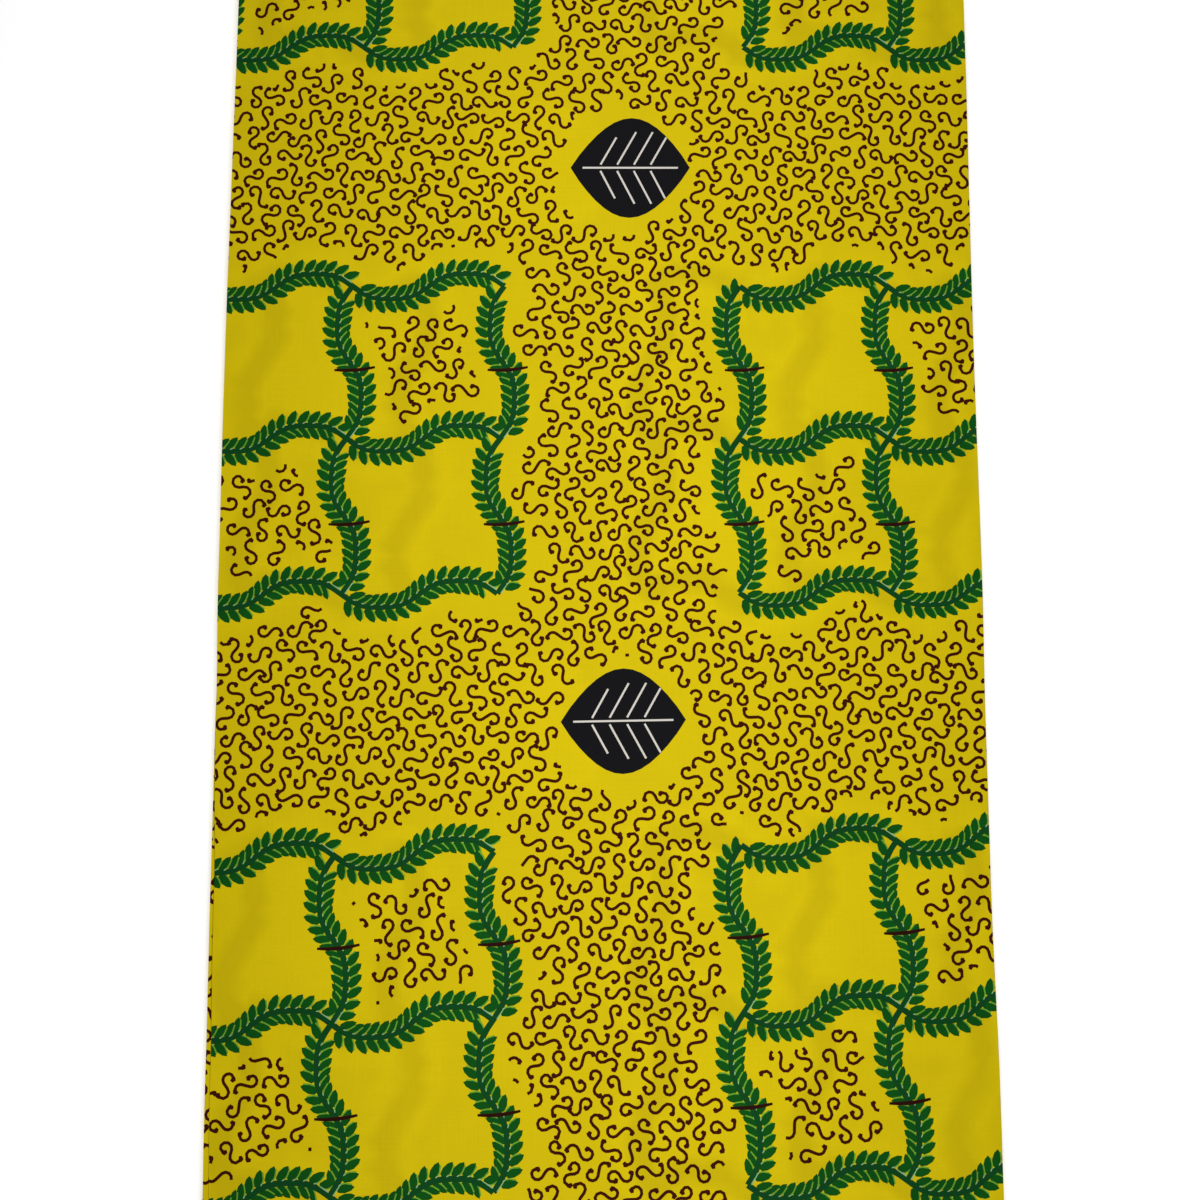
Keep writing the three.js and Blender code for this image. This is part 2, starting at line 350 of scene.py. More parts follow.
def edge_at(name, v):
    """Where the named edge of the top length lies across the pile at flat place v."""
    along = path_at(v)[4]
    places = np.array([row["along"] for row in EDGES])
    values = np.array([row[name] for row in EDGES])
    upper = np.clip(np.searchsorted(places, along), 1, len(places) - 1)
    t = (along - places[upper - 1]) / (places[upper] - places[upper - 1])
    return values[upper - 1] + (values[upper] - values[upper - 1]) * ease(t)


def layer_starts():
    """The flat place at which each length starts and ends. On the top length it equals Y."""
    starts, ends, y, place = [], [], NEAR_END, NEAR_END
    for layer in LAYERS:
        starts.append(place)
        place += abs(layer["ends"] - y)
        ends.append(place)
        y = layer["ends"]
        place += TURN_ARC
    return np.array(starts), np.array(ends)


STARTS, ENDS = layer_starts()


def between_layers(name, v):
    """A value of LAYERS at flat place v, which changes evenly round each turn."""
    values = [layer[name] for layer in LAYERS]
    return np.interp(v, np.column_stack([STARTS, ENDS]).ravel(), np.repeat(values, 2))


def path_at(v):
    """The middle line of the two plies at flat place v: Y, Z, its outward way, and Y for edges."""
    y, z, way_y, way_z, along = (np.zeros_like(v) for _ in range(5))
    start_y = NEAR_END
    for i, layer in enumerate(LAYERS):
        towards = 1 if layer["ends"] > start_y else -1
        outward = 1 if i % 2 == 0 else -1
        height = CLOTH / 2 + (2 * (LENGTHS - i) - 1.5) * PLY_STEP
        here = (v >= STARTS[i]) if i else np.ones_like(v, bool)
        angle = np.clip((v[here] - ENDS[i]) / PLY_STEP, 0, math.pi)
        if i == LENGTHS - 1:
            angle = np.zeros_like(angle)
        on = np.minimum(v[here] - STARTS[i], ENDS[i] - STARTS[i])
        along[here] = start_y + towards * on
        y[here] = along[here] + towards * PLY_STEP * np.sin(angle)
        z[here] = height - PLY_STEP + PLY_STEP * np.cos(angle)
        way_y[here] = outward * towards * np.sin(angle)
        way_z[here] = outward * np.cos(angle)
        start_y = layer["ends"]
    return y, z, way_y, way_z, along


def fold_start(v):
    """Where the plies begin to turn round the side fold."""
    return edge_at("fold", v) - between_layers("fold", v) - HALF_STEP - CLOTH / 2


def round_fold(u, v):
    """Where flat place u, v lies across the pile, and how far it is turned round the side fold."""
    start = fold_start(v)
    angle = np.clip((u - start) / HALF_STEP, 0, math.pi)
    back = np.maximum(u - start - FOLD_ARC, 0)
    return np.minimum(u, start) + HALF_STEP * np.sin(angle) - back, angle


def settle(x, y, z):
    """How the pile settles: its height gives way to the droops and swells."""
    side = HALF_WIDTH - np.abs(x)
    end = FAR_END - np.abs(y)
    rise = -SIDE_DROOP * (1 - ease(side / SIDE_REACH)) - END_DROOP * (1 - ease(end / END_REACH))
    for swell in SWELLS:
        distance = np.hypot(
            (x - swell["across"]) / swell["reach_x"], (y - swell["along"]) / swell["reach_y"]
        )
        rise = rise + swell["rise"] * (1 - ease(distance))
    return z * (1 + rise / PILE_HEIGHT)


def creased(x, y, z):
    """The rise of the creases, full on the top ply and less on each one below it."""
    rise = np.zeros_like(x)
    for crease in CREASES:
        angle = math.radians(crease["angle"])
        dx, dy = x - crease["across"], y - crease["along"]
        on = dx * math.cos(angle) + dy * math.sin(angle)
        off = dy * math.cos(angle) - dx * math.sin(angle)
        off = off + CREASE_BEND * on * on / crease["length"]
        fade = 1 - ease((np.abs(on) / crease["length"] - CREASE_FULL) / CREASE_FADE)
        rise += crease["rise"] * fade * np.exp(-((off / crease["width"]) ** 2))
    depth = np.clip((TOP_PLY_MIDDLE - z) / PILE_HEIGHT, 0, 1)
    return rise * (1 - depth)


def fluttered(v, from_edge, ply):
    """How far a raw edge waves up and down."""
    rise = np.zeros_like(v)
    for i, flutter in enumerate(FLUTTERS):
        shift = FLUTTER_SHIFT * ply + WAVE_SHIFT * i
        rise += flutter["rise"] * np.sin(TWO_PI * v / flutter["wave"] + shift)
    return rise * (1 - ease(from_edge / FLUTTER_REACH))


def place(v, x, level, way_x, way_level, offset, lift):
    """Points of the pile from a section across it (x, level, and its way out) and a place along."""
    y, z, way_y, way_z, _ = path_at(v)
    out = level + offset * way_level
    x = x + offset * way_x
    y, z = y + out * way_y, z + out * way_z
    z = settle(x, y, z) + creased(x, y, z) + lift
    return np.column_stack([x, y, z])


def place_upper(u, v, offset):
    """The top length's upper half: flat, round the side fold, and back a little under it."""
    x, angle = round_fold(u, v)
    lift = fluttered(v, u - edge_at("upper_left", v), PLIES)
    return place(v, x, HALF_STEP * np.cos(angle), np.sin(angle), np.cos(angle), offset, lift)


def place_lower(u, v, offset):
    """The top length's lower half: flat, with its upward side as its face."""
    lift = fluttered(v, u - edge_at("lower_left", v), PLIES - 1)
    ones = np.ones_like(u)
    return place(v, u, -HALF_STEP * ones, 0 * ones, ones, offset, lift)


def place_hidden(u, v, offset):
    """The lengths below: a first ply, the side fold, and a second ply back to the left."""
    x, angle = round_fold(u, v)
    from_edge = x - edge_at("lower_left", v) - between_layers("first", v)
    ply = np.where(angle > math.pi / 2, 3.0, 0.0)
    lift = HIDDEN_FLUTTER * fluttered(v, from_edge, ply) * ease((v - STARTS[1]) / FLUTTER_START)
    lift = np.where(v > STARTS[LENGTHS - 1] - TURN_ARC, 0, lift)
    return place(v, x, HALF_STEP * np.cos(angle), np.sin(angle), np.cos(angle), offset, lift)


# ---- The print's motifs, each a closed outline with its ink


def counterclockwise(outline):
    """The outline with its inside on the left."""
    x, y = outline[:, 0], outline[:, 1]
    area = np.dot(x, np.roll(y, -1)) - np.dot(y, np.roll(x, -1))
    return outline if area > 0 else outline[::-1]


def ribbon(line, left, right):
    """The outline of a stroke along a line, with its half widths on either side."""
    ways = np.gradient(line, axis=0)
    ways /= np.linalg.norm(ways, axis=1)[:, None]
    sides = np.column_stack([-ways[:, 1], ways[:, 0]])
    left = np.broadcast_to(left, len(line))[:, None]
    right = np.broadcast_to(right, len(line))[:, None]
    return np.vstack([line + sides * left, (line - sides * right)[::-1]])


def turned(angle):
    """The matrix that turns rows of points by an angle."""
    return np.array([[math.cos(angle), math.sin(angle)], [-math.sin(angle), math.cos(angle)]])


def way_of(angle):
    """The unit way at an angle."""
    return np.array([math.cos(angle), math.sin(angle)])


def leaf_breadth(t):
    """A leaf's breadth from its foot to its tip, as a share of its greatest."""
    return np.sin(math.pi * t**LEAF_TAPER) ** LEAF_FULLNESS


def leaf_outline(foot, angle, room, bend):
    """A plump pointed leaf from its foot, bent to the left by bend, as broad as it has room."""
    t = LEAF_SECTIONS
    half = room * LEAF_WIDTH / 2 * leaf_breadth(t)
    spine = bend * t * t
    upper = np.column_stack([LEAF_LENGTH * t, spine + half])
    lower = np.column_stack([LEAF_LENGTH * t, spine - half])
    outline = np.vstack([[(0, 0)], lower, [(LEAF_LENGTH, bend)], upper[::-1]])
    return leaf_size(room) * outline @ turned(angle) + foot


def glint_outline(foot, angle, room, bend):
    """A light sliver that shows beyond a leaf's forward edge, towards which it bends."""
    t = GLINT_SECTIONS
    edge = room * LEAF_WIDTH / 2 * leaf_breadth(t)
    sides = [edge + GLINT_WIDTH, edge - GLINT_OVERLAP]
    outer, inner = (
        np.column_stack([LEAF_LENGTH * t, bend * t * t + math.copysign(1, bend) * side])
        for side in sides
    )
    return leaf_size(room) * np.vstack([outer, inner[::-1]]) @ turned(angle) + foot


def leaf_size(room):
    """A leaf's size for its room."""
    return 1 - LEAF_SHRINK * (1 - room)


def wave_at(t):
    """A garland's wave, with 0 and 1 at the junctions."""
    return WAVE * (np.sin(TWO_PI * t) + WAVE_FLATTENING * np.sin(3 * TWO_PI * t))


def garland_line(upward, count=LINE_STEPS):
    """One window's side, from junction to junction, for a garland that grows up or right."""
    t = np.linspace(0, 1, count + 1)
    wave = wave_at(t)
    if upward:
        return np.column_stack([wave, WINDOW[1] * t])
    return np.column_stack([WINDOW[0] * t, -wave])


def along_line(line, place_on):
    """The point and heading at a length along a line."""
    steps = np.linalg.norm(np.diff(line, axis=0), axis=1)
    marks = np.concatenate([[0], np.cumsum(steps)])
    point, ahead, behind = (
        np.array([np.interp(place_on + step, marks, line[:, k]) for k in (0, 1)])
        for step in (0, MM, -MM)
    )
    return point, math.atan2(*(ahead - behind)[::-1]), marks[-1]


def garland(junction, upward):
    """The motifs of one side of a window: a stem, and leaves with their glints and ticks."""
    fine = garland_line(upward, FINE_STEPS)
    total = along_line(fine, 0)[2]
    ends = np.abs(np.linspace(-1, 1, LINE_STEPS + 1)) ** STEM_FLARE
    half = (STEM_WIDTH["middle"] + (STEM_WIDTH["ends"] - STEM_WIDTH["middle"]) * ends) / 2
    motifs = [("stem", ribbon(garland_line(upward), half, half) + junction)]
    for side, name in ((1, "left"), (-1, "right")):
        count = int((total - BARE_START - BARE_END[name]) / GARLAND_STEP) + 1
        for i in range(count):
            on = BARE_START + i * GARLAND_STEP
            foot, heading, _ = along_line(fine, on)
            angle = heading + side * LEAF_ANGLE
            behind = along_line(fine, max(on - GARLAND_STEP / 2, 0))[1]
            ahead = along_line(fine, min(on + GARLAND_STEP / 2, total))[1]
            room = 1 - side * (ahead - behind) * LEAF_MIDDLE / GARLAND_STEP
            room = min(max(room, LEAF_ROOM[0]), LEAF_ROOM[1])
            out = way_of(angle)
            foot = foot + junction + out * LEAF_FOOT
            motifs.append(("glint", glint_outline(foot, angle, room, side * -LEAF_BEND)))
            motifs.append(("leaf", leaf_outline(foot, angle, room, side * -LEAF_BEND)))
            # A pale tick sits in the axil on one side
            if (side == -1) == upward:
                motifs.append(("pale", foot + TICK @ np.array([way_of(heading), out])))
    return motifs


def end_leaf(junction):
    """The leaf at the end of an upright garland that meets no other from the left."""
    line = garland_line(True, FINE_STEPS)
    foot, heading, _ = along_line(line, along_line(line, 0)[2] - END_LEAF)
    return ("leaf", leaf_outline(foot + junction, heading + END_LEAF_ANGLE, 1, 0))


def sliver(line, first, last, side, widths):
    """A pale sliver beside a garland's bare stem, between two lengths along it."""
    start, heading, _ = along_line(line, first)
    end, _, _ = along_line(line, last)
    way = np.array([-math.sin(heading), math.cos(heading)]) * side * SLIVER_OFF
    return ("pale", ribbon(np.array([start, (start + end) / 2, end]) + way, widths, widths))


def junction_glints(junction, column, row):
    """Pale slivers beside the bare stems where two garlands cross."""
    motifs = []
    if column > -1:
        before = garland_line(False, FINE_STEPS) + junction - (WINDOW[0], 0)
        total = along_line(before, 0)[2]
        motifs.append(sliver(before, total - SLIVER_FAR, total - SLIVER_NEAR, 1, SLIVER_HALVES))
    if row < 1:
        rising = garland_line(True, FINE_STEPS) + junction
        widths = SLIVER_HALVES[::-1]
        motifs.append(sliver(rising, SLIVER_NEAR, SLIVER_FAR, -1, widths))
    return motifs


def tie(junction):
    """A plain short stroke across an upright garland."""
    point, _, _ = along_line(garland_line(True, FINE_STEPS), TIE_PLACE * WINDOW[1])
    t = np.linspace(-0.5, 0.5, TIE_STEPS + 1)
    on = TIE_LENGTH * t
    off = TIE_SAG * (t * t - 0.125)
    line = np.column_stack([on, off]) @ turned(TIE_LEAN) + point + junction
    half = TIE_WIDTH / 2 * (1 - TIE_TAPER * t * t)
    return [("tie", ribbon(line, half, half))]


def block_motifs():
    """The motifs of a block of two by two windows, about its middle."""
    motifs = []
    for column in (-1, 0, 1):
        for row in (-1, 0, 1):
            junction = np.array([column * WINDOW[0], row * WINDOW[1]])
            if row < 1:
                motifs += garland(junction, True)
                motifs += tie(junction)
            if column < 1:
                motifs += garland(junction, False)
            motifs += junction_glints(junction, column, row)
    motifs.append(end_leaf(np.array([-WINDOW[0], 0])))
    return motifs


def oval_motifs():
    """A dark pointed oval with a midrib and straight veins, about its middle."""
    t = np.linspace(0, 1, OVAL["steps"] + 1)
    x = OVAL["half_length"] * (1 - 2 * t)
    arch = OVAL["half_height"] * np.sin(math.pi * t) ** OVAL_FULLNESS
    outline = np.vstack([np.column_stack([x, arch]), np.column_stack([x, -arch])[::-1][1:-1]])
    rib = np.array([[-RIB_REACH, 0], [0, 0], [RIB_REACH, 0]]) * OVAL["half_length"]
    motifs = [("dark", outline)]
    motifs.append(("vein", ribbon(rib, VEIN_WIDTH / 2, VEIN_WIDTH / 2)))
    for vein in VEINS:
        for side in (1, -1):
            foot = np.array([vein["place"] * OVAL["half_length"], side * VEIN_GAP])
            reach = vein["reach"] * OVAL["half_height"]
            way = way_of(side * VEIN_ANGLE)
            line = np.array([foot, foot + way * reach / 2, foot + way * reach])
            motifs.append(("vein", ribbon(line, VEIN_WIDTH / 2, VEIN_WIDTH / 2)))
    return motifs


# ---- The lattice that carries the motifs


def lattice(middle, mirrored=False):
    """A lattice of blocks. Mirrored, each block is the other way round from left to right."""
    return {"middle": np.array(middle), "mirror": -1 if mirrored else 1}


def out_of_square(points):
    """Points of the lattice as the cloth lies, with its bow and skew."""
    x = np.clip(points[:, 0], -HALF_WIDTH, HALF_WIDTH)
    y = np.clip(points[:, 1], NEAR_END, FAR_END)
    bow = BOW["bend"] * (y - BOW["middle"]) ** 2 + BOW["shift"] + DRAWN * x * x
    skew = SKEW["slope"] * (x - SKEW["still"]) * ease((SKEW["start"] - y) / SKEW["reach"])
    return points + np.column_stack([bow, skew])


def block_places(grid, low, high):
    """The middles of the blocks that reach into a rectangle."""
    reach = WINDOW + 2 * LEAF_LENGTH
    first = np.floor((low - reach - grid["middle"]) / BLOCK_PITCH).astype(int)
    last = np.ceil((high + reach - grid["middle"]) / BLOCK_PITCH).astype(int)
    for i in range(first[0], last[0] + 1):
        for j in range(first[1], last[1] + 1):
            yield grid["middle"] + BLOCK_PITCH * (i, j)


def repeated(motifs, grid, shift, low, high):
    """The motifs at every block of a rectangle, with shift added to each block's middle."""
    found = []
    for middle in block_places(grid, low, high):
        for ink, outline in motifs:
            here = out_of_square(middle + shift + outline * (grid["mirror"], 1))
            if np.all(here.max(axis=0) > low) and np.all(here.min(axis=0) < high):
                found.append((ink, counterclockwise(here)))
    return found


def within_block(points, grid):
    """Places relative to the nearest block's middle, with the garlands' waves taken out."""
    straight = points - (out_of_square(points) - points)
    near = (straight - grid["middle"] + BLOCK_PITCH / 2) % BLOCK_PITCH - BLOCK_PITCH / 2
    near = near * (grid["mirror"], 1)
    x = near[:, 0] - wave_at(near[:, 1] / WINDOW[1])
    y = near[:, 1] + wave_at(near[:, 0] / WINDOW[0])
    return near, x, y


def from_garlands(points, grid):
    """How far points are from the nearest garland's middle line."""
    near, _, _ = within_block(points, grid)
    lines = []
    for column in (-1, 0, 1):
        for row in (-1, 0, 1):
            junction = (column * WINDOW[0], row * WINDOW[1])
            if row < 1:
                lines.append(garland_line(True, HALO_STEPS) + junction)
            if column < 1:
                lines.append(garland_line(False, HALO_STEPS) + junction)
    marks = np.vstack(lines)
    nearest = np.full(len(points), np.inf)
    for start in range(0, len(points), BATCH):
        part = near[start:start + BATCH]
        gaps = np.linalg.norm(part[:, None, :] - marks[None, :, :], axis=2)
        nearest[start:start + BATCH] = gaps.min(axis=1)
    return nearest


def open_ground(points, grid, slack=0):
    """Which points lie where scrolls go: off the halos and out of the plain windows."""
    across = np.sin(points[:, 0] * HALO_WAVES["across"])
    along = np.sin(points[:, 1] * HALO_WAVES["along"] + HALO_WAVES["shift"])
    wobble = HALO_WOBBLE * (across + along) / 2
    clear = from_garlands(points, grid) > HALO + wobble - slack
    _, x, y = within_block(points, grid)
    inside = (np.abs(x) < WINDOW[0]) & (np.abs(y) < WINDOW[1])
    plain = inside & (x * y < 0)
    middle = grid["middle"] + BLOCK_PITCH / 2 + OVAL_PLACE
    off = (points - middle + BLOCK_PITCH / 2) % BLOCK_PITCH - BLOCK_PITCH / 2
    ring = np.hypot(off[:, 0] / OVAL_HALO[0], off[:, 1] / OVAL_HALO[1])
    return clear & ~plain & (ring > 1 - slack / OVAL_HALO[1])


# ---- Scrolls


def scroll_line(kind):
    """A scroll's middle line, from its wide hook to its narrow one, about its own middle."""
    points, heading = [np.zeros(2)], 0.0
    for arc in SCROLL_ARCS:
        turn = math.radians(kind[arc["name"]]) / arc["steps"]
        chord = 2 * arc["radius"] * math.sin(abs(turn) / 2)
        for _ in range(arc["steps"]):
            heading += turn / 2
            points.append(points[-1] + chord * way_of(heading))
            heading += turn / 2
    line = np.array(points)
    return line - (line.max(axis=0) + line.min(axis=0)) / 2


def posed(line, pose):
    """A scroll's line at a pose: x, y, angle, size and which way round it is."""
    x, y, angle, size, hand = pose
    return (line * (size, size * hand)) @ turned(angle) + (x, y)


def tree_of(places):
    """A search tree of flat places."""
    tree = KDTree(len(places))
    for i, spot in enumerate(places):
        tree.insert((*spot, 0), i)
    tree.balance()
    return tree


def hex_places(low, high, spacing):
    """Evenly spread places in a rectangle."""
    rows = np.arange(low[1], high[1], spacing * math.sqrt(3) / 2)
    places = [
        (x, y)
        for i, y in enumerate(rows)
        for x in np.arange(low[0] + (i % 2) * spacing / 2, high[0], spacing)
    ]
    return np.array(places)


def place_scrolls(places, seed):
    """Scrolls at these places, each turned and nudged to keep clear of its neighbours."""
    rng = np.random.RandomState(seed)
    shapes = [scroll_line(kind) for kind in SCROLL_KINDS]
    count = len(places)
    kinds = rng.randint(len(shapes), size=count)
    tree = tree_of(places)
    near = [
        [j for _, j, _ in tree.find_range((*spot, 0), SCROLL_NEAR * SCROLL_SPACING) if j != i]
        for i, spot in enumerate(places)
    ]
    lines = np.full((count, *shapes[0].shape), np.nan)
    hands = np.zeros(count)
    for sweep in range(SCROLL_ROUNDS):
        for i in rng.permutation(count):
            around = lines[near[i]].reshape(-1, 2)
            around = around[~np.isnan(around[:, 0])]
            nudges = rng.uniform(-1, 1, (SCROLL_TRIES, 2)) * SCROLL_JITTER
            angles = rng.uniform(0, TWO_PI, SCROLL_TRIES)
            sizes = rng.uniform(*SCROLL_SIZES, SCROLL_TRIES)
            turns = rng.choice([-1, 1], SCROLL_TRIES)
            tries = np.array([
                posed(shapes[kinds[i]], (*(places[i] + nudge), angle, size, hand))
                for nudge, angle, size, hand in zip(nudges, angles, sizes, turns)
            ])
            if sweep:
                tries = np.concatenate([tries, lines[i][None]])
                turns = np.append(turns, hands[i])
            best = 0
            if len(around):
                gaps = ((tries[:, :, None, :] - around[None, None]) ** 2).sum(axis=3)
                best = int(np.exp(-gaps / SCROLL_CROWDING**2).sum(axis=(1, 2)).argmin())
            lines[i], hands[i] = tries[best], turns[best]
    return lines, hands


def bulb(end, before, inner_left):
    """A scroll's round end: further middle points with their half widths, left and right."""
    way = way_of(math.atan2(*(end - before)[::-1]))
    left, right = ("inner", "outer") if inner_left else ("outer", "inner")
    return [(end + way * part["on"], part[left], part[right]) for part in BULB]


def scroll_outlines(line, hand, kept):
    """The strokes of a scroll where it is kept. A whole end is round, and a cut one is plain."""
    outlines = []
    for keep, group in groupby(range(len(line)), key=lambda i: kept[i]):
        run = list(group)
        if not keep or len(run) < SHORTEST_DASH:
            continue
        marks = [(line[i], SCROLL_WIDTH / 2, SCROLL_WIDTH / 2) for i in run]
        if run[0] == 0:
            first = bulb(line[0], line[1], hand < 0)[::-1]
            marks = [(point, right, left) for point, left, right in first] + marks
        if run[-1] == len(line) - 1:
            marks += bulb(line[-1], line[-2], hand < 0)
        outlines.append(ribbon(*map(np.array, zip(*marks))))
    return outlines


def scroll_motifs(low, high, grid, shown):
    """Scrolls over a rectangle, where the ground is open and the cloth can be seen."""
    places = hex_places(low - SCROLL_SPACING / 2, high + SCROLL_SPACING, SCROLL_SPACING)
    wanted = np.zeros(len(places), bool)
    for way in ((0, 0), (1, 0), (-1, 0), (0, 1), (0, -1)):
        spots = places + np.array(way) * SCROLL_REACH
        wanted |= open_ground(spots, grid) & shown(spots)
    lines, hands = place_scrolls(places[wanted], SCROLL_SEED)
    flat = lines.reshape(-1, 2)
    slack = HALO_SLACK * np.repeat(open_ground(lines.mean(axis=1), grid), lines.shape[1])
    kept = (open_ground(flat, grid, slack) & shown(flat)).reshape(lines.shape[:2])
    return [
        ("scroll", counterclockwise(outline))
        for line, hand, keep in zip(lines, hands, kept)
        for outline in scroll_outlines(line, hand, keep)
    ]


def print_motifs(grid, low, high, shown):
    """Every motif of a rectangle of cloth, in the order in which they are printed."""
    found = scroll_motifs(low, high, grid, shown)
    found += repeated(block_motifs(), grid, np.zeros(2), low, high)
    found += repeated(oval_motifs(), grid, BLOCK_PITCH / 2 + OVAL_PLACE, low, high)
    centres = np.array([outline.mean(axis=0) for _, outline in found])
    seen = shown(centres)
    found = [motif for motif, is_seen in zip(found, seen) if is_seen]
    return sorted(found, key=lambda motif: INKS.index(motif[0]))


# ---- Meshes


def add_object(name, data):
    """A new object in the scene."""
    obj = bpy.data.objects.new(name, data)
    bpy.context.scene.collection.objects.link(obj)
    return obj


def triangulate(outline, motifs, points, lines):
    """A sheet's triangles from its outline, the motifs on it, and points and lines inside it."""
    vectors = [Vector(p) for p in outline]
    faces = [list(range(len(outline)))]
    inks = [INKS.index("ground")]
    for ink, shape in motifs:
        faces.append(list(range(len(vectors), len(vectors) + len(shape))))
        vectors += [Vector(p) for p in shape]
        inks.append(INKS.index(ink))
    vectors += [Vector(p) for p in points]
    edges = []
    for line in lines:
        edges += [(i, i + 1) for i in range(len(vectors), len(vectors) + len(line) - 1)]
        vectors += [Vector(p) for p in line]
    found, _, triangles, sources, _, owners = delaunay_2d_cdt(
        vectors, edges, faces, 0, SAME_POINT
    )
    kept = [i for i, owner in enumerate(owners) if 0 in owner]
    return {
        "points": np.array([tuple(p) for p in found]),
        "triangles": np.array([triangles[i] for i in kept]),
        "inks": np.array([inks[max(owners[i])] for i in kept]),
        "sources": sources,
    }


def rim_of(triangles):
    """The vertices round a sheet, in order, with the sheet on their left."""
    edges = {(int(t[k]), int(t[(k + 1) % 3])) for t in triangles for k in range(3)}
    following = {a: b for a, b in edges if (b, a) not in edges}
    start = min(following)
    loop = [start]
    while following[loop[-1]] != start:
        loop.append(following[loop[-1]])
    return loop


def compact(sheet):
    """The sheet with only the points that its triangles use."""
    used, triangles = np.unique(sheet["triangles"], return_inverse=True)
    return {
        "points": sheet["points"][used],
        "triangles": triangles.reshape(-1, 3),
        "inks": sheet["inks"],
        "sources": [sheet["sources"][old] for old in used],
    }


def plain_back(face, rim, points, lines):
    """A plain inner side with the same rim as the face. Returns it and its own rim."""
    sheet = compact(triangulate(face["points"][rim], [], points, lines))
    place_of = {source: i for i, found in enumerate(sheet["sources"]) for source in found}
    return sheet, [place_of[i] for i in range(len(rim))]


def normals_of(place_points, u, v, offset):
    """The surface's normals, from points a little way to either side."""
    step = NORMAL_STEP
    across = place_points(u + step, v, offset) - place_points(u - step, v, offset)
    along = place_points(u, v + step, offset) - place_points(u, v - step, offset)
    found = np.cross(across, along)
    return found / np.linalg.norm(found, axis=1)[:, None]


def cloth_object(name, place_points, face, back, rims, under):
    """A thin closed sheet: its face, its back and the rim between them."""
    shift = np.array([cad_box[1][0] - EDGES[-1]["fold"], 0, 0])
    sides = []
    for sheet, offset in ((face, CLOTH / 2), (back, -CLOTH / 2)):
        u, v = sheet["points"].T
        sides.append((place_points(u, v, offset) + shift, normals_of(place_points, u, v, offset)))
    count = len(face["points"])
    vertices = np.vstack([sides[0][0], sides[1][0]])
    back_triangles = back["triangles"][:, ::-1] + count
    outer, inner = np.array(rims[0]), np.array(rims[1]) + count
    rim_faces = np.column_stack([np.roll(outer, -1), outer, inner, np.roll(inner, -1)])
    faces = [*face["triangles"].tolist(), *back_triangles.tolist(), *rim_faces.tolist()]
    mesh = bpy.data.meshes.new(name)
    mesh.from_pydata(vertices.tolist(), [], faces)
    mesh.polygons.foreach_set("use_smooth", np.ones(len(faces), bool))

    inks = np.concatenate([face["inks"], back["inks"], np.zeros(len(rim_faces))])
    shade = np.concatenate([under(face["points"]), np.zeros(len(back["points"]))])
    for kind, domain, values in (("ink", "FACE", inks), ("under", "POINT", shade)):
        attribute = mesh.attributes.new(kind, "FLOAT", domain)
        attribute.data.foreach_set("value", values.astype(np.float32))
    flat = np.vstack([face["points"], back["points"]])
    corners = np.zeros(len(mesh.loops), np.int64)
    mesh.loops.foreach_get("vertex_index", corners)
    low, high = flat.min(axis=0), flat.max(axis=0)
    squared = (flat[corners] - low) / (high - low)
    for kind, places in (("cloth", flat[corners]), ("OFBake", squared)):
        flat_map = mesh.uv_layers.new(name=kind)
        flat_map.data.foreach_set("uv", places.astype(np.float32).ravel())

    normals = np.vstack([sides[0][1], -sides[1][1]])[corners]
    rim_start = 3 * (len(face["triangles"]) + len(back["triangles"]))
    rim_points = vertices[rim_faces]
    rim_normals = np.cross(rim_points[:, 1] - rim_points[:, 0], rim_points[:, 2] - rim_points[:, 1])
    rim_normals /= np.linalg.norm(rim_normals, axis=1)[:, None]
    normals[rim_start:] = np.repeat(rim_normals, 4, axis=0)
    mesh.normals_split_custom_set(normals.tolist())
    return add_object(name, mesh)


def thinned(points, motifs, gap):
    """The points that keep a gap from every corner of the motifs."""
    tree = tree_of(np.vstack([outline for _, outline in motifs]))
    return np.array([p for p in points if tree.find((*p, 0))[2] > gap])


def inside_of(sets, left, right, low, high):
    """The points of each set that lie between two edges, as functions of v, and two ends."""
    kept = []
    for points in sets:
        u, v = points.T
        across = (u > left(v) + EDGE_GAP) & (u < right(v) - EDGE_GAP)
        kept.append(points[across & (v > low + EDGE_GAP) & (v < high - EDGE_GAP)])
    return kept


def sheet_outline(left, right, low, high, step):
    """The outline of a sheet between two edges and two ends."""
    count = int((high - low) / step)
    v = np.linspace(low, high, count + 1)
    across = int(END_LINE / step)
    bottom = np.linspace(left(v[:1])[0], right(v[:1])[0], across)[1:-1]
    top = np.linspace(left(v[-1:])[0], right(v[-1:])[0], across)[1:-1]
    return np.vstack([
        np.column_stack([bottom, np.full_like(bottom, low)]),
        np.column_stack([right(v), v]),
        np.column_stack([top, np.full_like(top, high)])[::-1],
        np.column_stack([left(v), v])[::-1],
    ])


def fold_lines(low, high):
    """Lines along the side fold, close together round it."""
    v = np.arange(low + EDGE_STEP / 2, high, EDGE_STEP)
    start = fold_start(v)
    return [
        np.column_stack([start + FOLD_ARC * k / FOLD_STEPS, v])
        for k in range(FOLD_STEPS + 1)
    ]


def turn_lines(i, left, right):
    """Lines across the turn at the end of length i, close together round it."""
    rows = []
    for k in range(TURN_STEPS + 1):
        v = ENDS[i] + TURN_ARC * k / TURN_STEPS
        low, high = left(np.array([v]))[0], right(np.array([v]))[0]
        u = np.arange(low + EDGE_STEP / 2, high, EDGE_STEP)
        rows.append(np.column_stack([u, np.full_like(u, v)]))
    return rows


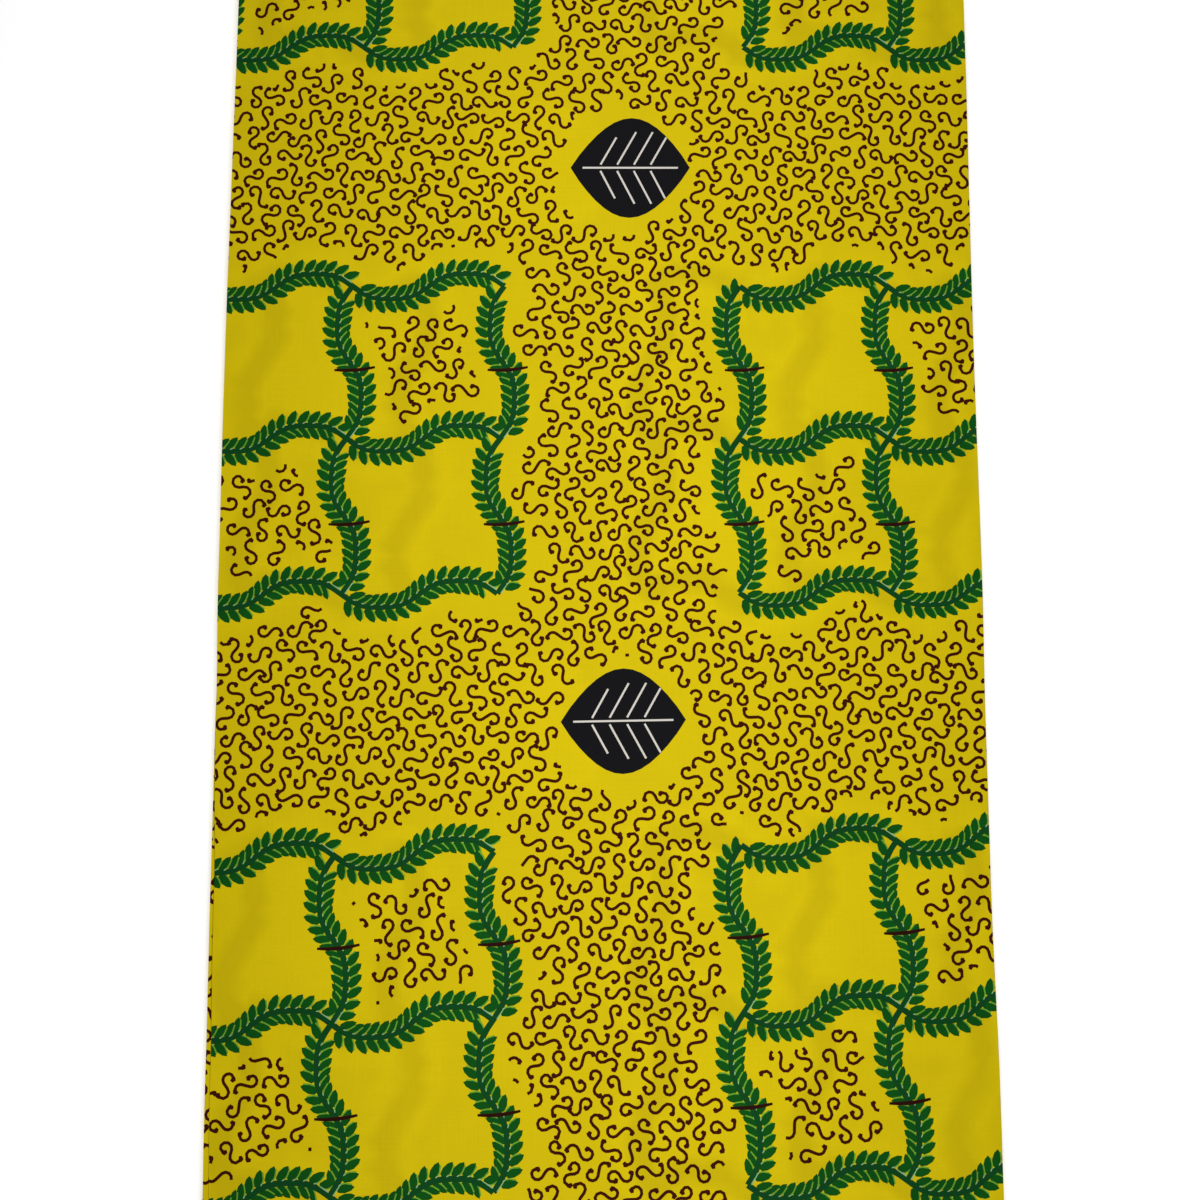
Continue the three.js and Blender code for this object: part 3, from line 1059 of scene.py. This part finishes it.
def off_bends(points, fold):
    """The points that lie clear of the turns, and of the side fold if there is one."""
    u, v = points.T
    gap = PLY_STEP
    keep = np.ones(len(points), bool)
    for end in ENDS:
        keep &= (v < end - gap) | (v > end + TURN_ARC + gap)
    if fold:
        start = fold_start(v)
        keep &= (u < start - gap) | (u > start + FOLD_ARC + gap)
    return points[keep]


# ---- The three stretches of the cloth


def show_through(points):
    """How strongly the ply beneath shows through the top one."""
    grid = lattice(UNDER_MIDDLE, mirrored=True)
    band = 1 - ease((from_garlands(points, grid) - THROUGH_FULL) / THROUGH_FADE)
    return np.maximum(band, THROUGH_SCROLLS * open_ground(points, grid))


def nothing_under(points):
    """No show-through, for the plies that lie below."""
    return np.zeros(len(points))


def make_stretch(name, place_points, grid, edges, reach, shown, step, gap, turns, fold, under):
    """A sheet between two edges and its reaches along and across: a printed face, a plain back."""
    (low, high), (near, far) = reach
    box = np.array([(near, low), (far, high)])
    motifs = print_motifs(grid, *box, shown=shown)
    ground = off_bends(thinned(hex_places(*box, step), motifs, gap), fold)
    lines = fold_lines(low, high) if fold else []
    for i in turns:
        lines += turn_lines(i, *edges)
    outline = sheet_outline(*edges, low, high, 2 * EDGE_STEP)
    points, *lines = inside_of([ground, *lines], *edges, low, high)
    face = compact(triangulate(outline, motifs, points, lines))
    rim = rim_of(face["triangles"])
    back, back_rim = plain_back(face, rim, points, lines)
    return cloth_object(name, place_points, face, back, (rim, back_rim), under)


def make_upper_half():
    """The top length's printed face, with its side fold and its far turn."""

    def right(v):
        return fold_start(v) + FOLD_ARC + RETURN

    return make_stretch(
        "cloth_upper_half", place_upper, lattice(BLOCK_MIDDLE),
        edges=(partial(edge_at, "upper_left"), right),
        reach=(
            (NEAR_END + UPPER_SHORT, ENDS[0] + TURN_ARC + RETURN),
            (-HALF_WIDTH - BOX_MARGIN, HALF_WIDTH + RETURN + BOX_MARGIN),
        ),
        shown=lambda p: np.ones(len(p), bool),
        step=GROUND_STEP, gap=GROUND_GAP * GROUND_STEP, turns=[0], fold=True, under=show_through,
    )


def make_lower_half():
    """The ply under the printed face, with its bare strip at the left."""
    low, high = NEAR_END, ENDS[0] + TURN_ARC + RETURN
    left = partial(edge_at, "lower_left")

    def right(v):
        return fold_start(v) - RETURN - CLEARANCE

    def shown(p):
        near_edge = p[:, 0] < left(p[:, 1]) + 2 * PRINTED_MARGIN
        return near_edge | (p[:, 1] < low + PRINTED_MARGIN) | (p[:, 1] > high - 2 * RETURN)

    return make_stretch(
        "cloth_lower_half", place_lower, lattice(STRIP_MIDDLE, mirrored=True),
        edges=(left, right),
        reach=((low, high), (-HALF_WIDTH - BOX_MARGIN, HALF_WIDTH - RETURN)), shown=shown,
        step=HIDDEN_STEP, gap=HIDDEN_STEP / 2, turns=[0], fold=False, under=nothing_under,
    )


def make_hidden_lengths():
    """The four lengths below, in one sheet that goes back and forth."""

    def left(v):
        return edge_at("lower_left", v) + between_layers("first", v)

    def middle(v):
        return fold_start(v) + FOLD_ARC / 2

    def right(v):
        inner = edge_at("lower_left", v) + between_layers("second", v)
        return 2 * middle(v) - FOLD_ARC / 2 - inner

    def shown(p):
        u, v = p.T
        seen = (u < left(v) + PRINTED_MARGIN) | (u > right(v) - PRINTED_MARGIN)
        for end in ENDS:
            seen |= np.abs(v - end - TURN_ARC / 2) < PRINTED_MARGIN
        return seen | (np.abs(u - middle(v)) < PRINTED_MARGIN)

    return make_stretch(
        "cloth_hidden_lengths", place_hidden, lattice(BLOCK_MIDDLE), edges=(left, right),
        reach=(
            (ENDS[0] + TURN_ARC + RETURN + CLEARANCE, ENDS[-1]),
            (-HALF_WIDTH, 3 * HALF_WIDTH + 2 * PLY_STEP),
        ),
        shown=shown, step=HIDDEN_STEP, gap=HIDDEN_STEP / 2, turns=range(1, LENGTHS - 1),
        fold=True, under=nothing_under,
    )


# ---- The printed cotton


def linear(colour):
    """A colour of 0 to 255 as the linear light that a shader takes."""
    parts = [c / 255 for c in colour]
    return (*[c / 12.92 if c <= 0.04045 else ((c + 0.055) / 1.055) ** 2.4 for c in parts], 1)


class Nodes:
    """A new material, with short calls for its nodes."""

    def __init__(self, name):
        self.material = bpy.data.materials.new(name)
        self.material.use_nodes = True
        self.tree = self.material.node_tree
        self.tree.nodes.clear()

    def add(self, kind, inputs=(), **settings):
        """A node with its settings, and its inputs as values or as links."""
        node = self.tree.nodes.new(kind)
        for name, value in settings.items():
            setattr(node, name, value)
        for key, value in dict(inputs).items():
            if isinstance(value, bpy.types.NodeSocket):
                self.tree.links.new(value, node.inputs[key])
            else:
                node.inputs[key].default_value = value
        return node

    def maths(self, operation, *values):
        """The result of a sum on numbers."""
        return self.add("ShaderNodeMath", enumerate(values), operation=operation).outputs[0]

    def noise(self, vector, scale, detail=2.0, roughness=0.5):
        """Soft random shading, from 0 to 1."""
        inputs = {"Vector": vector, "Scale": scale, "Detail": detail, "Roughness": roughness}
        return self.add("ShaderNodeTexNoise", inputs).outputs["Fac"]

    def shader(self, inputs):
        """The material's surface."""
        shader = self.add("ShaderNodeBsdfPrincipled", inputs)
        self.add("ShaderNodeOutputMaterial", {"Surface": shader.outputs[0]})

    def stretched(self, vector, scale):
        """Places on the cloth, scaled in each direction."""
        inputs = {"Vector": vector, "Scale": scale}
        return self.add("ShaderNodeMapping", inputs, vector_type="POINT").outputs[0]


def printed_cotton():
    """Wax print cotton: dyed inks, slubby threads, faint show-through and a soft sheen."""
    nodes = Nodes("printed_cotton")
    flat = nodes.add("ShaderNodeUVMap", uv_map="cloth").outputs[0]

    ink = nodes.add("ShaderNodeAttribute", attribute_name="ink").outputs["Fac"]
    ramp = nodes.add("ShaderNodeValToRGB", {
        "Fac": nodes.maths("DIVIDE", nodes.maths("ADD", ink, 0.5), float(len(INKS))),
    })
    ramp.color_ramp.interpolation = "CONSTANT"
    stops = ramp.color_ramp.elements
    while len(stops) < len(INKS):
        stops.new(0.5)
    for i, name in enumerate(INKS):
        stops[i].position = i / len(INKS)
        stops[i].color = linear(INK_COLOURS[name])

    # Threads that are a little thick or thin, across and along, and dye that took unevenly
    across = nodes.noise(nodes.stretched(flat, (SLUB_RATE, THREAD_RATE, 1)), 1.0)
    along = nodes.noise(nodes.stretched(flat, (THREAD_RATE, SLUB_RATE, 1)), 1.0)
    threads = nodes.maths("ADD", across, along)
    cloudy = nodes.noise(flat, 24.0, 3.0, 0.6)
    grain = nodes.noise(flat, 420.0, 2.0, 0.7)
    tone = nodes.maths("MULTIPLY_ADD", threads, UNEVEN, 1 - UNEVEN)
    for shading in (cloudy, grain):
        soft = nodes.maths("MULTIPLY_ADD", shading, UNEVEN, 1 - UNEVEN / 2)
        tone = nodes.maths("MULTIPLY", tone, soft)

    # The print of the ply beneath, seen through the ground
    under = nodes.add("ShaderNodeAttribute", attribute_name="under").outputs["Fac"]
    broken = nodes.maths("MULTIPLY_ADD", grain, THROUGH_BROKEN, 1 - THROUGH_BROKEN / 2)
    through = nodes.maths("MULTIPLY", nodes.maths("MULTIPLY", under, broken), -THROUGH_DARK)
    tone = nodes.maths("MULTIPLY", tone, nodes.maths("ADD", through, 1.0))
    inputs = {0: ramp.outputs["Color"], "Scale": tone}
    shaded = nodes.add("ShaderNodeVectorMath", inputs, operation="SCALE")

    # Plain weave: crests of the threads, on a slightly uneven ground
    separate = nodes.add("ShaderNodeSeparateXYZ", {0: flat})
    thread_turns = TWO_PI / THREAD_STEP
    warp = nodes.maths("SINE", nodes.maths("MULTIPLY", separate.outputs[0], thread_turns))
    weft = nodes.maths("SINE", nodes.maths("MULTIPLY", separate.outputs[1], thread_turns))
    weave = nodes.maths("MULTIPLY", warp, weft)
    height = nodes.maths("ADD", nodes.maths("MULTIPLY", weave, WEAVE_SHARE), threads)
    bump = nodes.add("ShaderNodeBump", {
        "Strength": 0.25, "Distance": THREAD_RELIEF, "Height": height,
    })
    nodes.shader({
        "Base Color": shaded.outputs[0],
        "Roughness": nodes.maths("MULTIPLY_ADD", grain, 0.16, 0.62),
        "Specular IOR Level": 0.06,
        "Sheen Weight": 0.02,
        "Sheen Roughness": 0.45,
        "Normal": bump.outputs[0],
    })
    return nodes.material


# ---- The floor, the light and the camera


def make_floor():
    """A plain white floor."""
    mesh = bpy.data.meshes.new("floor")
    square = ((-1, -1), (1, -1), (1, 1), (-1, 1))
    corners = [(FLOOR_REACH * x, FLOOR_REACH * y, 0) for x, y in square]
    mesh.from_pydata(corners, [], [(0, 1, 2, 3)])
    nodes = Nodes("floor_white")
    nodes.shader({
        "Base Color": (0.93, 0.93, 0.93, 1), "Roughness": 0.9, "Specular IOR Level": 0.0,
        "Emission Color": (1, 1, 1, 1), "Emission Strength": 0.50,
    })
    mesh.materials.append(nodes.material)
    floor = add_object("floor", mesh)
    floor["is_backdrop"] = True


def make_lights():
    """A long softbox over the pile, a little to its right, and even light from all round."""
    light = bpy.data.lights.new("softbox", "AREA")
    light.shape = "RECTANGLE"
    light.size, light.size_y = SOFTBOX["size"]
    light.energy = SOFTBOX["energy"]
    softbox = add_object("softbox", light)
    softbox.location = SOFTBOX["place"]
    softbox.visible_camera = False
    world = bpy.data.worlds.new("studio")
    world.use_nodes = True
    background = world.node_tree.nodes["Background"]
    background.inputs["Color"].default_value = (1, 1, 1, 1)
    background.inputs["Strength"].default_value = WORLD_LIGHT
    bpy.context.scene.world = world


def make_camera():
    """Nearly straight down, tilted towards the far end."""
    camera = bpy.data.cameras.new("camera")
    camera.sensor_width = CAMERA["sensor"]
    camera.lens = CAMERA["lens"]
    tilt = CAMERA["tilt"]
    way = Vector((0, -math.sin(tilt), math.cos(tilt)))
    obj = add_object("camera", camera)
    obj.location = Vector(AIM) + CAMERA["distance"] * way
    obj.rotation_euler = (tilt, 0, 0)
    bpy.context.scene.camera = obj
    bpy.context.scene.view_settings.view_transform = "Standard"


# ---- The scene

make_camera()
make_floor()
make_lights()

cotton = printed_cotton()
STRETCHES = table(
    "make node flat held rests_on",
    (make_upper_half, "top_length_upper_half", (0.593, 1.115), "folded", "hidden_lengths"),
    (make_lower_half, "top_length_lower_half", (0.565, 1.116), "folded", "hidden_lengths"),
    (make_hidden_lengths, "hidden_lengths", (1.158, 4.370), "folded", ()),
)
for stretch in STRETCHES:
    piece = stretch["make"]()
    piece.data.materials.append(cotton)
    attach(piece, "root")
    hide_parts(stretch["node"])
    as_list(stretch["rests_on"])

sizes = {"cad": cad_box, "visual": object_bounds()}
{key: [list(map(float, corner)) for corner in box] for key, box in sizes.items()}
